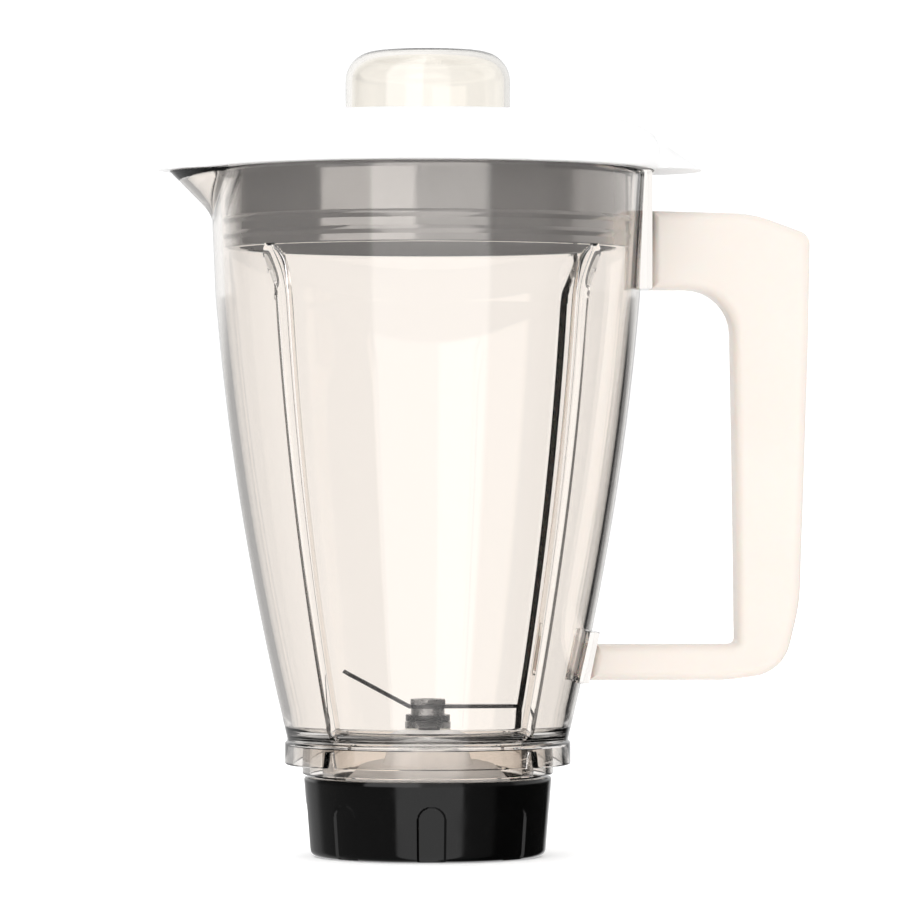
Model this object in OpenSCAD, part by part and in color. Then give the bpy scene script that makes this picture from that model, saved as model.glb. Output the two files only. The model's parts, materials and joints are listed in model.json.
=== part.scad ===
// Jar assembly of a countertop blender: a clear jar with a handle and a pouring spout, a domed
// lid with a measuring cap, and a blade unit that a screw collar clamps under the jar's neck.
// Origin: on the jar's axis, in the plane that the collar stands on. +Z is up, the handle is
// towards +X and the spout towards -X.

/* [Jar] */
// Height of the jar's rim, where the lid sits
rim_z = 228; // [226:0.5:232]
// Height of the jar's floor
floor_z = 40; // [39.8:0.1:41]
// Outer radius of the wall where it leaves the base flange
foot_r = 46.6; // [46:0.1:47]
// Outer radius of the wall at the shoulder, below the rim band
shoulder_r = 70.8; // [70:0.1:71.5]
// Outer radius of the rim
rim_r = 72.6; // [72:0.1:73.2]
// How far the wall bows out between foot and shoulder
wall_bow = 3; // [1:0.1:4]
// Thickness of the jar wall
jar_wall = 3; // [2.6:0.1:3.1]
// How far each flow rib stands into the jar
rib_depth = 3.4; // [2:0.1:5]
// Width of a flow rib, in degrees round the jar
rib_angle = 4.6; // [3:0.1:6]
// How far the spout reaches from the axis
spout_reach = 86.3; // [84:0.1:87]

/* [Base flange and neck] */
// Outer radius of the base flange
flange_r = 47.6; // [47.4:0.1:49]
// Lower edge of the base flange
flange_end_z = 30.5; // [29.5:0.5:32]
// Outer radius of the neck
neck_r = 35.2; // [35:0.1:35.3]
// Radius of the neck's bore, through which the blades pass
neck_bore_r = 31.6; // [31.4:0.1:31.8]
// Advance of the screw thread in one turn
thread_lead = 24; // [22:1:25]

/* [Handle] */
// Outer face of the grip, measured from the axis
grip_outer_x = 127; // [122:0.5:132]
// Front-to-back depth of the grip
grip_depth = 24; // [20:0.5:27]
// Width of the handle, side to side
handle_w = 22; // [18:1:24]
// Top of the upper arm at the jar
arm_top_z = 214.5; // [210:0.5:218]
// Underside of the upper arm
arm_under_z = 188.5; // [187:0.5:192]

/* [Lid] */
// Outer radius of the lid
lid_r = 79; // [78:0.1:81]
// Height of the lid's flat top
lid_top_z = 246.2; // [245.2:0.2:248]
// Thickness of the lid moulding
lid_wall = 2.4; // [2:0.1:2.8]
// Outer radius of the plug that drops into the jar
plug_r = 66.4; // [65:0.1:66.5]
// Reach of the tab that covers the spout
spout_tab_reach = 90; // [88:0.5:92]
// Reach of the thumb tab above the handle
thumb_tab_reach = 91.6; // [89:0.1:93]

/* [Measuring cap] */
// Outer radius of the cap
cap_r = 27.5; // [26:0.1:29]
// Height of the cap's top
cap_top_z = 267.8; // [262:0.2:273]
// Thickness of the cap wall
cap_wall = 2; // [1.6:0.1:2.4]

/* [Collar] */
// Outer radius of the collar at its top edge
collar_top_r = 41.3; // [41:0.1:42]
// Outer radius of the collar just above its bottom edge
collar_foot_r = 39.4; // [39:0.1:40.5]
// Height of the collar
collar_h = 26.3; // [26:0.1:26.6]
// Number of thumb flats round the collar
grip_count = 8; // [4:1:10]

/* [Blade unit] */
// Radius of the shaft's journals, which run in bushes bored to 4 mm radius
shaft_r = 3.96; // [3.94:0.01:3.97]
// Reach of the upper blade's flat wing
flat_wing_reach = 30; // [26:0.5:31]
// Reach of the upper blade's raised wing along its slope, from the bend
raised_wing_length = 25; // [16:0.5:26]
// Upward bend of the raised wing, in degrees
raised_wing_bend = 28; // [15:1:32]
// Reach of the lower blade's wings from the bend
low_wing_length = 15; // [12:0.5:16]
// Thickness of a blade
blade_t = 1.2; // [1:0.1:1.4]

/* [Hidden] */
$fn = 96;

// Levels and sections of the jar
foot_z = 38.2;
shoulder_z = 186;
wall_steps = 14;
floor_fillet = 5;
under_floor_z = 36.8;
rib_fade_z = 178;
rib_top_z = 202;
flange_t = 2.6;
landing_ring_r = 41.8;
landing_ring_t = 2.4;
landing_ring_z = 27.2;
neck_end_z = 13.4;
notch_w = 3.6;
spout_half_angle = 45;
spout_mouth_r = 28.8;

// Pads that carry the handle
pad_w = 24;
upper_pad_x = 74.2;
lower_pad_x = 53.4;
lower_pad_lean = 0.21;
lower_pad_z = [57.5, 74.5];
lower_arm_z = [58.5, 70.2];
weld_gap = 0.02;

// Plug of the lid
plug_end_z = 203.2;
plug_t = 2.2;

// Screw thread between neck and collar
thread_starts = 4;
lug_root_t = 2.6;
lug_crest_t = 1.6;
thread_play = 0.3;
neck_lug_z = 20;
neck_lug_turn = 44;
neck_lug_reach = 1.7;
collar_lug_angle = 8;
collar_lug_turn = 24;
collar_lug_reach = 2.1;

// Collar
collar_bore_r = 37.6;
shelf_z = [5.6, 8.6];
shelf_r = 26;
base_socket_r = 35;
collar_round = 2.5;
flat_half_w = 4.8;
flat_top_z = 18.5;
flat_depth = 0.7;

// Blade holder
disc_r = 37;
disc_t = 2.8;
holder_r = 31;
plateau_r = 22.8;
plateau_z = 29.7;
tower_foot_r = 14.9;
tower_top_r = 10;
tower_top_z = 43;
tower_round = 1.4;
holder_wall = 2.6;
boss_r = 11;
boss_end_z = 18.8;
bush_r = 7;
bush_bore_r = 4;
seat_gap = 0.02;
upper_bush_z = [32, 40];
lower_bush_z = [19, 27];
seal_pocket_r = 8;
seal_pocket_z = 40.4;

// Stack on the shaft above the tower
thrust_washer_z = [43.2, 44];
hub_z = [44, 46.2];
hub_r = 7.6;
lower_blade_z = 46.2;
upper_blade_z = 49.3;
nut_h = 1.8;
flat_half = 2.9;
flats_z = 44.4;
blade_bend_x = 6.4;
wing_root_half = 4.6;
wing_overlap = 0.6;

// Stack on the shaft below the lower bush
lower_washer_z = [17.6, 18.6];
clip_z = [16.4, 17.4];
insert_z = [10.8, 15.6];
insert_r = 6.2;
coupling_z = [5.8, 15.6];
coupling_r = 12.4;
coupling_web_z = 10.8;
coupling_teeth = 6;
shaft_end_z = 11.4;

// Outer radius of the jar wall at height z: a parabola to the shoulder, then a straight band
function wall_r(z) = z > shoulder_z
    ? shoulder_r + (rim_r - shoulder_r) * (z - shoulder_z) / (rim_z - shoulder_z)
    : let (t = (z - foot_z) / (shoulder_z - foot_z))
      foot_r + (shoulder_r - foot_r) * t + 4 * wall_bow * t * (1 - t);

function inside_r(z) = wall_r(z) - jar_wall;

// The i-th of a number of equal steps from low to high
function step_to(i, low, high, steps) = low + (high - low) * i / steps;

// Points of an arc in a half-section, from angle a0 to angle a1
function arc(x, z, r, a0, a1, steps = 6) = [
    for (i = [0:steps])
        let (a = step_to(i, a0, a1, steps))
        [x + r * cos(a), z + r * sin(a)]
];

function reversed(list) = [for (i = [len(list) - 1:-1:0]) list[i]];

// The jar's inside, from the floor's fillet up to the rim
function inside_points() = let (low = floor_z + floor_fillet) concat(
    arc(inside_r(low) - floor_fillet, low, floor_fillet, 270, 360),
    [for (i = [1:wall_steps]) let (z = step_to(i, low, shoulder_z, wall_steps)) [inside_r(z), z]],
    [[inside_r(rim_z), rim_z]]
);

function outside_points() = concat(
    [for (i = [0:wall_steps]) let (z = step_to(i, foot_z, shoulder_z, wall_steps)) [wall_r(z), z]],
    [[rim_r, rim_z]]
);

// How far a flow rib stands in at height z; it dies away into the wall near its top
function rib_at(z) = z < rib_fade_z
    ? rib_depth
    : rib_depth * sqrt(max(0, 1 - pow((z - rib_fade_z) / (rib_top_z - rib_fade_z), 2)));

// The lower pad's face leans out with the jar wall
function lower_pad(z) = lower_pad_x + lower_pad_lean * (z - lower_arm_z[0]);

// The lid's dome is a quarter of an ellipse, from the flat top down to the lid's side
function dome_points(inset) = let (flat_r = 52, side_z = 233.5) [
    for (i = [0:8])
        let (a = step_to(i, 0, 90, 8))
        [
            flat_r + (lid_r - flat_r - inset) * cos(a),
            side_z + (lid_top_z - side_z - inset) * sin(a)
        ]
];

// A ring of rectangular section between two radii and two heights
module ring(outer_r, inner_r, low, high) {
    rotate_extrude()
        translate([inner_r, low])
            square([outer_r - inner_r, high - low]);
}

// A flat outline in the X-Z plane, given its width in Y
module slab(width) {
    translate([0, width / 2, 0])
        rotate([90, 0, 0])
            linear_extrude(width)
                children();
}

// A lug of the quick-turn thread, centred on +X, from root_r to crest_r. It is tilted by the
// thread's slope, so it follows the helix over its short length.
module thread_lug(root_r, crest_r, mid_z, turn) {
    slope = atan(thread_lead / (2 * PI * neck_r));
    translate([0, 0, mid_z])
        rotate([slope, 0, 0])
            rotate([0, 0, -turn / 2])
                rotate_extrude(angle = turn)
                    polygon([
                        [root_r, -lug_root_t / 2],
                        [crest_r, -lug_crest_t / 2],
                        [crest_r, lug_crest_t / 2],
                        [root_r, lug_root_t / 2]
                    ]);
}

// Body, floor, base flange, landing ring and neck in one half-section
module jar_shell() {
    rotate_extrude()
        polygon(concat(
            inside_points(),
            reversed(outside_points()),
            [
                [flange_r, foot_z],
                [flange_r, flange_end_z],
                [flange_r - flange_t, flange_end_z],
                [flange_r - flange_t, under_floor_z],
                [landing_ring_r, under_floor_z],
                [landing_ring_r, landing_ring_z],
                [landing_ring_r - landing_ring_t, landing_ring_z],
                [landing_ring_r - landing_ring_t, under_floor_z],
                [neck_r, under_floor_z],
                [neck_r, neck_end_z],
                [neck_bore_r, neck_end_z],
                [neck_bore_r, floor_z - 1],
                [neck_bore_r + 1, floor_z]
            ]
        ));
}

// The jar's inside, grown a little, to trim what is added on its outside
module jar_core() {
    grow = 1;
    rotate_extrude()
        polygon(concat(
            [[0, floor_z]],
            [for (p = inside_points()) [p[0] + grow, p[1]]],
            [[inside_r(rim_z) + grow, rim_z + 5], [0, rim_z + 5]]
        ));
}

// An upright cone beside the axis, whose wide end at the rim makes the spout
module spout_cone(inset) {
    mouth_r = spout_mouth_r - inset;
    translate([spout_mouth_r - spout_reach, 0, rim_z - mouth_r])
        cylinder(r1 = 0, r2 = mouth_r + 2, h = mouth_r + 2);
}

module spout() {
    difference() {
        intersection() {
            spout_cone(0);
            translate([-2 * rim_r, -rim_r, 0])
                cube([2 * rim_r, 2 * rim_r, rim_z]);
        }
        jar_core();
    }
}

module flow_rib() {
    levels = concat(
        [for (i = [0:wall_steps]) step_to(i, floor_z - 1, rib_fade_z, wall_steps)],
        [for (i = [1:5]) step_to(i, rib_fade_z, rib_top_z, 5)]
    );
    rotate([0, 0, -rib_angle / 2])
        rotate_extrude(angle = rib_angle)
            polygon(concat(
                [for (z = levels) [inside_r(z) - rib_at(z), z]],
                [for (z = reversed(levels)) [inside_r(z) + 1, z]]
            ));
}

module handle_pads() {
    difference() {
        slab(pad_w) {
            polygon([
                [58, arm_under_z],
                [upper_pad_x, arm_under_z],
                [upper_pad_x, rim_z],
                [58, rim_z]
            ]);
            polygon([
                [40, lower_pad_z[0]],
                [lower_pad(lower_pad_z[0]), lower_pad_z[0]],
                [lower_pad(lower_pad_z[1]), lower_pad_z[1]],
                [40, lower_pad_z[1]]
            ]);
        }
        jar_core();
    }
}

module jar() {
    color([0.93, 0.93, 0.92, 0.4])
    difference() {
        union() {
            jar_shell();
            spout();
            handle_pads();
            for (i = [0:3])
                rotate([0, 0, 45 + 90 * i])
                    flow_rib();
            for (i = [0:thread_starts - 1])
                rotate([0, 0, i * 360 / thread_starts])
                    thread_lug(neck_r - 1, neck_r + neck_lug_reach, neck_lug_z, neck_lug_turn);
        }
        spout_cone(jar_wall * sqrt(2) - 0.6);
        // Notches that drop over the drive unit's ribs
        for (i = [0:3])
            rotate([0, 0, 45 + 90 * i])
                translate([flange_r - flange_t - 1, -notch_w / 2, flange_end_z - 1])
                    cube([flange_t + 3, notch_w, under_floor_z - flange_end_z]);
    }
}

module handle() {
    inner_x = grip_outer_x - grip_depth - 1;
    corner_r = 15;
    color([0.96, 0.92, 0.86])
    slab(handle_w)
        difference() {
            polygon([
                [upper_pad_x + weld_gap, arm_under_z],
                [upper_pad_x + weld_gap, arm_top_z],
                [104, arm_top_z - 1.3],
                [grip_outer_x - 9, arm_top_z - 4.6],
                [grip_outer_x, arm_top_z - 8],
                [grip_outer_x - 0.6, 170],
                [grip_outer_x - 2.8, 92],
                [grip_outer_x - 4.4, lower_arm_z[1] + 2],
                [grip_outer_x - 7.4, lower_arm_z[1] - 3],
                [grip_outer_x - 13, lower_arm_z[1] - 8.6],
                [grip_outer_x - 21, lower_arm_z[0] + 0.6],
                [grip_outer_x - 30, lower_arm_z[0]],
                [lower_pad(lower_arm_z[0]) + weld_gap, lower_arm_z[0]],
                [lower_pad(lower_arm_z[1]) + weld_gap, lower_arm_z[1]],
                [inner_x + 0.8, lower_arm_z[1]],
                [inner_x, 135],
                [inner_x - 1, arm_under_z - corner_r],
                [inner_x - 1 - corner_r, arm_under_z - corner_r],
                [inner_x - 1 - corner_r, arm_under_z]
            ]);
            translate([inner_x - 1 - corner_r, arm_under_z - corner_r])
                circle(corner_r);
        }
}

// A tab that stands out from the lid along +X, given its outline in the X-Z plane
module lid_tab(reach, width) {
    end_r = width * 0.6;
    intersection() {
        slab(width)
            children();
        translate([reach - end_r, 0, rim_z - 1])
            union() {
                cylinder(r = end_r, h = 30);
                translate([-60, -end_r, 0])
                    cube([60, 2 * end_r, 30]);
            }
    }
}

module lid() {
    chimney_r = cap_r + 0.4;
    seat_z = lid_top_z - 13.2;
    seat_t = 1.8;
    tab_t = 2.2;
    side_in = lid_r - lid_wall;
    color([0.98, 0.98, 0.98])
    union() {
        // Dome with the chimney that the measuring cap stands in
        rotate_extrude()
            polygon(concat(
                [
                    [chimney_r, lid_top_z],
                    [chimney_r, seat_z],
                    [cap_r - 3, seat_z],
                    [cap_r - 3, seat_z - seat_t],
                    [chimney_r + 2.2, seat_z - seat_t],
                    [chimney_r + 2.2, lid_top_z - lid_wall]
                ],
                reversed(dome_points(lid_wall)),
                [[side_in - 1.2, rim_z], [lid_r - 1.4, rim_z], [lid_r, rim_z + 2.5]],
                dome_points(0)
            ));
        ring(plug_r, plug_r - plug_t, plug_end_z, lid_top_z - 3.4);
        // Short ribs under the dome, which stand on the jar's rim
        for (i = [0:7])
            rotate([0, 0, 22.5 + 45 * i])
                rotate_extrude(angle = 1.6)
                    polygon([
                        [plug_r - 1, rim_z],
                        [side_in - 1, rim_z],
                        [side_in + 1, rim_z + 5],
                        [plug_r - 1, lid_top_z - 5]
                    ]);
        // The thumb tab is a wedge that carries on the dome's slope
        lid_tab(thumb_tab_reach, 44)
            polygon([
                [73.2, rim_z],
                [thumb_tab_reach + 1, rim_z],
                [thumb_tab_reach + 1, rim_z + 0.6],
                [79.8, rim_z + 8.2],
                [73.4, rim_z + 12.4]
            ]);
        rotate([0, 0, 180])
            lid_tab(spout_tab_reach, 50)
                polygon([
                    [73.2, rim_z],
                    [spout_tab_reach + 1, rim_z],
                    [spout_tab_reach + 1, rim_z + tab_t - 0.8],
                    [lid_r + 1, rim_z + tab_t],
                    [lid_r - 1, rim_z + tab_t + 1.4],
                    [73.2, rim_z + tab_t + 1.4]
                ]);
    }
}

// A channel-shaped sleeve, pushed on over the plug's lower end. Two lips press on the jar's wall.
module lid_gasket() {
    sleeve_r = plug_r + seat_gap + 1.1;
    inner_leg_r = plug_r - plug_t - seat_gap;
    inner_leg_top_z = 214;
    low = plug_end_z - seat_gap - 1.2;
    color([0.62, 0.62, 0.62])
    rotate_extrude()
        polygon([
            [inner_leg_r - 1.2, low],
            [sleeve_r, low],
            [sleeve_r, 204.6],
            [68.1, 206],
            [sleeve_r, 207.6],
            [sleeve_r, 209.4],
            [68.3, 211.2],
            [sleeve_r, 212.8],
            [sleeve_r, rim_z - 1],
            [plug_r + seat_gap, rim_z - 1],
            [plug_r + seat_gap, plug_end_z - seat_gap],
            [inner_leg_r, plug_end_z - seat_gap],
            [inner_leg_r, inner_leg_top_z],
            [inner_leg_r - 1.2, inner_leg_top_z]
        ]);
}

module measuring_cap() {
    round_r = 10;
    foot = lid_top_z - 13.2;
    color([0.95, 0.95, 0.93, 0.5])
    rotate_extrude()
        polygon(concat(
            [[cap_r - cap_wall, foot], [cap_r, foot]],
            arc(cap_r - round_r, cap_top_z - round_r, round_r, 0, 90, 8),
            [[0, cap_top_z], [0, cap_top_z - cap_wall]],
            reversed(arc(cap_r - round_r, cap_top_z - round_r, round_r - cap_wall, 0, 90, 8))
        ));
}

module collar() {
    // A lug rests on the neck's lug, higher up the thread by the angle that it is turned
    collar_lug_z = neck_lug_z + lug_root_t + thread_play + thread_lead * collar_lug_angle / 360;
    slope = atan((collar_top_r - collar_foot_r) / (collar_h - collar_round));
    color([0.06, 0.06, 0.06])
    difference() {
        union() {
            rotate_extrude()
                polygon(concat(
                    [
                        [base_socket_r, 0],
                        [base_socket_r, shelf_z[0]],
                        [shelf_r, shelf_z[0]],
                        [shelf_r, shelf_z[1]],
                        [collar_bore_r, shelf_z[1]],
                        [collar_bore_r, collar_h],
                        [collar_top_r - 0.5, collar_h],
                        [collar_top_r, collar_h - 0.5]
                    ],
                    arc(collar_foot_r - collar_round, collar_round, collar_round, 0, -90)
                ));
            // Lugs that ride on top of the neck's lugs
            for (i = [0:thread_starts - 1])
                rotate([0, 0, i * 360 / thread_starts + collar_lug_angle])
                    thread_lug(
                        collar_bore_r + 0.8, collar_bore_r - collar_lug_reach,
                        collar_lug_z, collar_lug_turn
                    );
        }
        // Arched thumb flats, cut square to the sloping side
        for (i = [0:grip_count - 1])
            rotate([0, 0, i * 360 / grip_count])
                translate([collar_foot_r - flat_depth, 0, collar_round])
                    rotate([0, slope, 0])
                        union() {
                            translate([0, 0, flat_top_z - flat_half_w - collar_round])
                                rotate([0, 90, 0])
                                    cylinder(r = flat_half_w, h = 6);
                            translate([0, -flat_half_w, -6])
                                cube([6, 2 * flat_half_w, flat_top_z - flat_half_w - collar_round + 6]);
                        }
    }
}

module blade_holder() {
    disc_low = shelf_z[1];
    disc_top = disc_low + disc_t;
    shoulder_low = plateau_z - (holder_r - plateau_r);
    color([0.85, 0.85, 0.85])
    rotate_extrude()
        polygon(concat(
            [
                [bush_r, boss_end_z],
                [boss_r, boss_end_z],
                [boss_r + 0.6, plateau_z - holder_wall],
                [plateau_r - 1.1, plateau_z - holder_wall],
                [holder_r - holder_wall, shoulder_low - 1.1],
                [holder_r - holder_wall, disc_low],
                [disc_r, disc_low],
                [disc_r, disc_top],
                [holder_r, disc_top],
                [holder_r, shoulder_low],
                [plateau_r, plateau_z],
                [tower_foot_r, plateau_z]
            ],
            arc(tower_top_r - tower_round, tower_top_z - tower_round, tower_round, 0, 90, 4),
            [
                [seal_pocket_r, tower_top_z],
                [seal_pocket_r, seal_pocket_z],
                [bush_r, seal_pocket_z]
            ]
        ));
}

module jar_seal() {
    low = shelf_z[1] + disc_t;
    color([0.55, 0.55, 0.55])
        ring(36.8, holder_r + 0.3, low, neck_end_z);
}

module upper_bush() {
    color([0.72, 0.6, 0.4])
        ring(bush_r - seat_gap, bush_bore_r, upper_bush_z[0], upper_bush_z[1]);
}

module lower_bush() {
    color([0.72, 0.6, 0.4])
        ring(bush_r - seat_gap, bush_bore_r, lower_bush_z[0], lower_bush_z[1]);
}

// Lip seal pressed into the top of the tower
module shaft_seal() {
    color([0.1, 0.1, 0.1])
    rotate_extrude()
        polygon([
            [bush_bore_r + 1.4, seal_pocket_z],
            [seal_pocket_r - seat_gap, seal_pocket_z],
            [seal_pocket_r - seat_gap, tower_top_z - 0.2],
            [bush_bore_r + 2, tower_top_z - 0.2],
            [bush_bore_r + 1.2, tower_top_z - 0.9],
            [bush_bore_r + 0.05, tower_top_z - 0.6],
            [bush_bore_r + 0.05, tower_top_z - 1.1],
            [bush_bore_r + 1.4, tower_top_z - 1.6]
        ]);
}

// A round bar with two flats above a given height
module blade_shaft() {
    top = upper_blade_z + blade_t + nut_h - 0.4;
    groove_r = 3;
    color([0.75, 0.75, 0.76])
    difference() {
        rotate_extrude()
            polygon([
                [0, shaft_end_z],
                [shaft_r - 0.5, shaft_end_z],
                [shaft_r, shaft_end_z + 0.5],
                [shaft_r, clip_z[0] - 0.1],
                [groove_r, clip_z[0] - 0.1],
                [groove_r, clip_z[1] + 0.1],
                [shaft_r, clip_z[1] + 0.1],
                [shaft_r, top - 0.5],
                [shaft_r - 0.5, top],
                [0, top]
            ]);
        for (side = [-1, 1])
            translate([side * (flat_half + 2) - 2, -5, flats_z])
                cube([4, 10, upper_blade_z + blade_t - flats_z]);
    }
}

// The bore shared by the pieces that the shaft's flats drive
module drive_bore(low, high) {
    intersection() {
        translate([0, 0, low - 1])
            cylinder(r = shaft_r + 0.05, h = high - low + 2);
        translate([-flat_half - 0.05, -10, low - 2])
            cube([2 * flat_half + 0.1, 20, high - low + 4]);
    }
}

module thrust_washer() {
    color([0.9, 0.9, 0.86])
        ring(hub_r, shaft_r + 0.06, thrust_washer_z[0], thrust_washer_z[1]);
}

module blade_hub() {
    color([0.62, 0.62, 0.63])
        ring(hub_r, shaft_r + 0.06, hub_z[0], hub_z[1]);
}

// One wing in plan, from the bend line out to a swept tip
module wing_outline(length, tip_half) {
    polygon([
        [-wing_overlap, -wing_root_half],
        [length * 0.55, -wing_root_half * 0.9],
        [length - 1.5, -tip_half],
        [length, -tip_half * 0.5],
        [length - 2.5, tip_half],
        [length * 0.55, wing_root_half * 0.8],
        [-wing_overlap, wing_root_half]
    ]);
}

// A wing that leaves the hub plate along +X and is bent up by an angle
module wing(z, length, bend, tip_half) {
    translate([blade_bend_x, 0, z])
        rotate([0, -bend, 0])
            linear_extrude(blade_t)
                wing_outline(length, tip_half);
}

module upper_blade() {
    color([0.8, 0.8, 0.81])
    difference() {
        union() {
            translate([0, 0, upper_blade_z])
                cylinder(r = hub_r - 0.2, h = blade_t);
            wing(upper_blade_z, flat_wing_reach - blade_bend_x, 0, 3.3);
            rotate([0, 0, 180])
                wing(upper_blade_z, raised_wing_length, raised_wing_bend, 3.3);
        }
        drive_bore(upper_blade_z, upper_blade_z + blade_t);
    }
}

module lower_blade() {
    color([0.78, 0.78, 0.79])
    difference() {
        union() {
            translate([0, 0, lower_blade_z])
                cylinder(r = hub_r - 0.2, h = blade_t);
            rotate([0, 0, -90])
                wing(lower_blade_z, low_wing_length, -12, 3.2);
            rotate([0, 0, 90])
                wing(lower_blade_z, low_wing_length, 14, 3.2);
        }
        drive_bore(lower_blade_z, lower_blade_z + blade_t);
        // Relief so that the bent roots clear the hub below
        translate([0, 0, hub_z[0]])
            cylinder(r = hub_r + 0.2, h = hub_z[1] - hub_z[0]);
    }
}

module blade_spacer() {
    color([0.66, 0.66, 0.67])
        ring(hub_r - 2, shaft_r + 0.06, lower_blade_z + blade_t, upper_blade_z);
}

// Two of the nut's flats face the wings, so it clears the raised wing's bend
module blade_nut() {
    low = upper_blade_z + blade_t;
    across_corners_r = 6.6;
    color([0.7, 0.7, 0.71])
    difference() {
        translate([0, 0, low])
            rotate([0, 0, 30])
                cylinder(r = across_corners_r, h = nut_h, $fn = 6);
        translate([0, 0, low - 1])
            cylinder(r = shaft_r + 0.04, h = nut_h + 2);
    }
}

module lower_washer() {
    color([0.75, 0.75, 0.76])
        ring(7.6, shaft_r + 0.06, lower_washer_z[0], lower_washer_z[1]);
}

// A split ring that snaps into the shaft's groove
module shaft_clip() {
    color([0.35, 0.35, 0.37])
    difference() {
        ring(6.4, 3.1, clip_z[0], clip_z[1]);
        translate([0, -2.4, clip_z[0] - 1])
            cube([10, 4.8, 4]);
    }
}

module coupling_insert() {
    color([0.7, 0.6, 0.35])
    difference() {
        translate([0, 0, insert_z[0]])
            cylinder(r = insert_r, h = insert_z[1] - insert_z[0], $fn = 6);
        translate([0, 0, insert_z[0] - 1])
            cylinder(r = shaft_r + 0.04, h = insert_z[1] - insert_z[0] + 2);
    }
}

// A lobed drive wheel with a toothed socket underneath, moulded round the hexagonal insert
module drive_coupling() {
    socket_r = 6.6;
    tooth_r = 1.1;
    lobe_r = 2.6;
    color([0.08, 0.08, 0.08])
    difference() {
        union() {
            translate([0, 0, coupling_z[0]])
                cylinder(r = coupling_r - lobe_r, h = coupling_z[1] - coupling_z[0]);
            for (i = [0:coupling_teeth - 1])
                rotate([0, 0, i * 360 / coupling_teeth])
                    translate([coupling_r - lobe_r, 0, coupling_z[0]])
                        cylinder(r = lobe_r, h = coupling_web_z + 1 - coupling_z[0]);
        }
        translate([0, 0, coupling_web_z - seat_gap])
            cylinder(r = insert_r + 2 * seat_gap, h = 10, $fn = 6);
        translate([0, 0, coupling_z[0] - 1])
            difference() {
                cylinder(r = socket_r, h = coupling_web_z - coupling_z[0] - 0.4);
                for (i = [0:2 * coupling_teeth - 1])
                    rotate([0, 0, i * 180 / coupling_teeth])
                        translate([socket_r, 0, -1])
                            cylinder(r = tooth_r, h = 12);
            }
    }
}

jar();
handle();
lid();
lid_gasket();
measuring_cap();
collar();
blade_holder();
jar_seal();
upper_bush();
lower_bush();
shaft_seal();
blade_shaft();
thrust_washer();
blade_hub();
lower_blade();
blade_spacer();
upper_blade();
blade_nut();
lower_washer();
shaft_clip();
coupling_insert();
drive_coupling();
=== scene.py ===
"""Looks of the blender jar assembly: clear jar, cream handle, white lid, black screw collar."""
import json
from math import cos, pi, radians, sin, sqrt

import bmesh
import bpy
from mathutils import Matrix, Vector


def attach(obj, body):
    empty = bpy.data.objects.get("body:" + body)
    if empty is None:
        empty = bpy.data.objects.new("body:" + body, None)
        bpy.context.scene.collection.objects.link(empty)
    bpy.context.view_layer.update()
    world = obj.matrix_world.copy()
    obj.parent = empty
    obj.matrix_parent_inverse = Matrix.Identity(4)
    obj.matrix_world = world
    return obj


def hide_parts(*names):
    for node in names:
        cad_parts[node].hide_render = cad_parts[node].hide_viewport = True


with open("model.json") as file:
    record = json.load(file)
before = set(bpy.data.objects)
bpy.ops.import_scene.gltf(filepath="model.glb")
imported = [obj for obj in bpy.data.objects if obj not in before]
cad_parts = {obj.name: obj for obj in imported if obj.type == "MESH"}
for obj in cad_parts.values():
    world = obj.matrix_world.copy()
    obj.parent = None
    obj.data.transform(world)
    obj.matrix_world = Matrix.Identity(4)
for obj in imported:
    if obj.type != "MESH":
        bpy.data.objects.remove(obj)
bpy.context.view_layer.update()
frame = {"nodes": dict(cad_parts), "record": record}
scene = bpy.context.scene


# ---------------------------------------------------------------- camera and floor, in metres
CAMERA_DISTANCE = 1.867
CAMERA_LENS = 224
SENSOR = 36
CAMERA_FAR = 50
AZIMUTH = radians(-2)
LOOK_HEIGHT = 0.135
CAMERA_HEIGHT = 0.127
AIM_SIDE = 0.0074
FLOOR_REACH = 12
# The floor lies just under the part's foot, so the two don't share a plane.
FLOOR_GAP = 0.0002


def add_camera():
    data = bpy.data.cameras.new("camera")
    data.lens = CAMERA_LENS
    data.sensor_width = SENSOR
    data.clip_end = CAMERA_FAR
    camera = bpy.data.objects.new("camera", data)
    scene.collection.objects.link(camera)
    turn = Matrix.Rotation(AZIMUTH, 3, "Z")
    camera.location = turn @ Vector((AIM_SIDE, -CAMERA_DISTANCE, CAMERA_HEIGHT))
    target = turn @ Vector((AIM_SIDE, 0, LOOK_HEIGHT))
    camera.rotation_euler = (target - camera.location).to_track_quat("-Z", "Y").to_euler()
    scene.camera = camera


def add_floor():
    mesh = bpy.data.meshes.new("floor")
    corners = [(-1, -1), (1, -1), (1, 1), (-1, 1)]
    mesh.from_pydata([(x * FLOOR_REACH, y * FLOOR_REACH, -FLOOR_GAP) for x, y in corners], [], [(0, 1, 2, 3)])
    floor = bpy.data.objects.new("floor", mesh)
    scene.collection.objects.link(floor)
    material, nodes, links, shader = new_material(
        "floor_paper", (0.93, 0.93, 0.93), 0.75, Emission_Color=(1, 1, 1, 1), Emission_Strength=0.3)
    grain = add(nodes, "ShaderNodeTexNoise", Scale=900, Detail=3)
    bump(nodes, links, shader, grain.outputs["Fac"], 0.02, 0.0002)
    mesh.materials.append(material)
    floor.visible_glossy = False
    floor.visible_transmission = False


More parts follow.
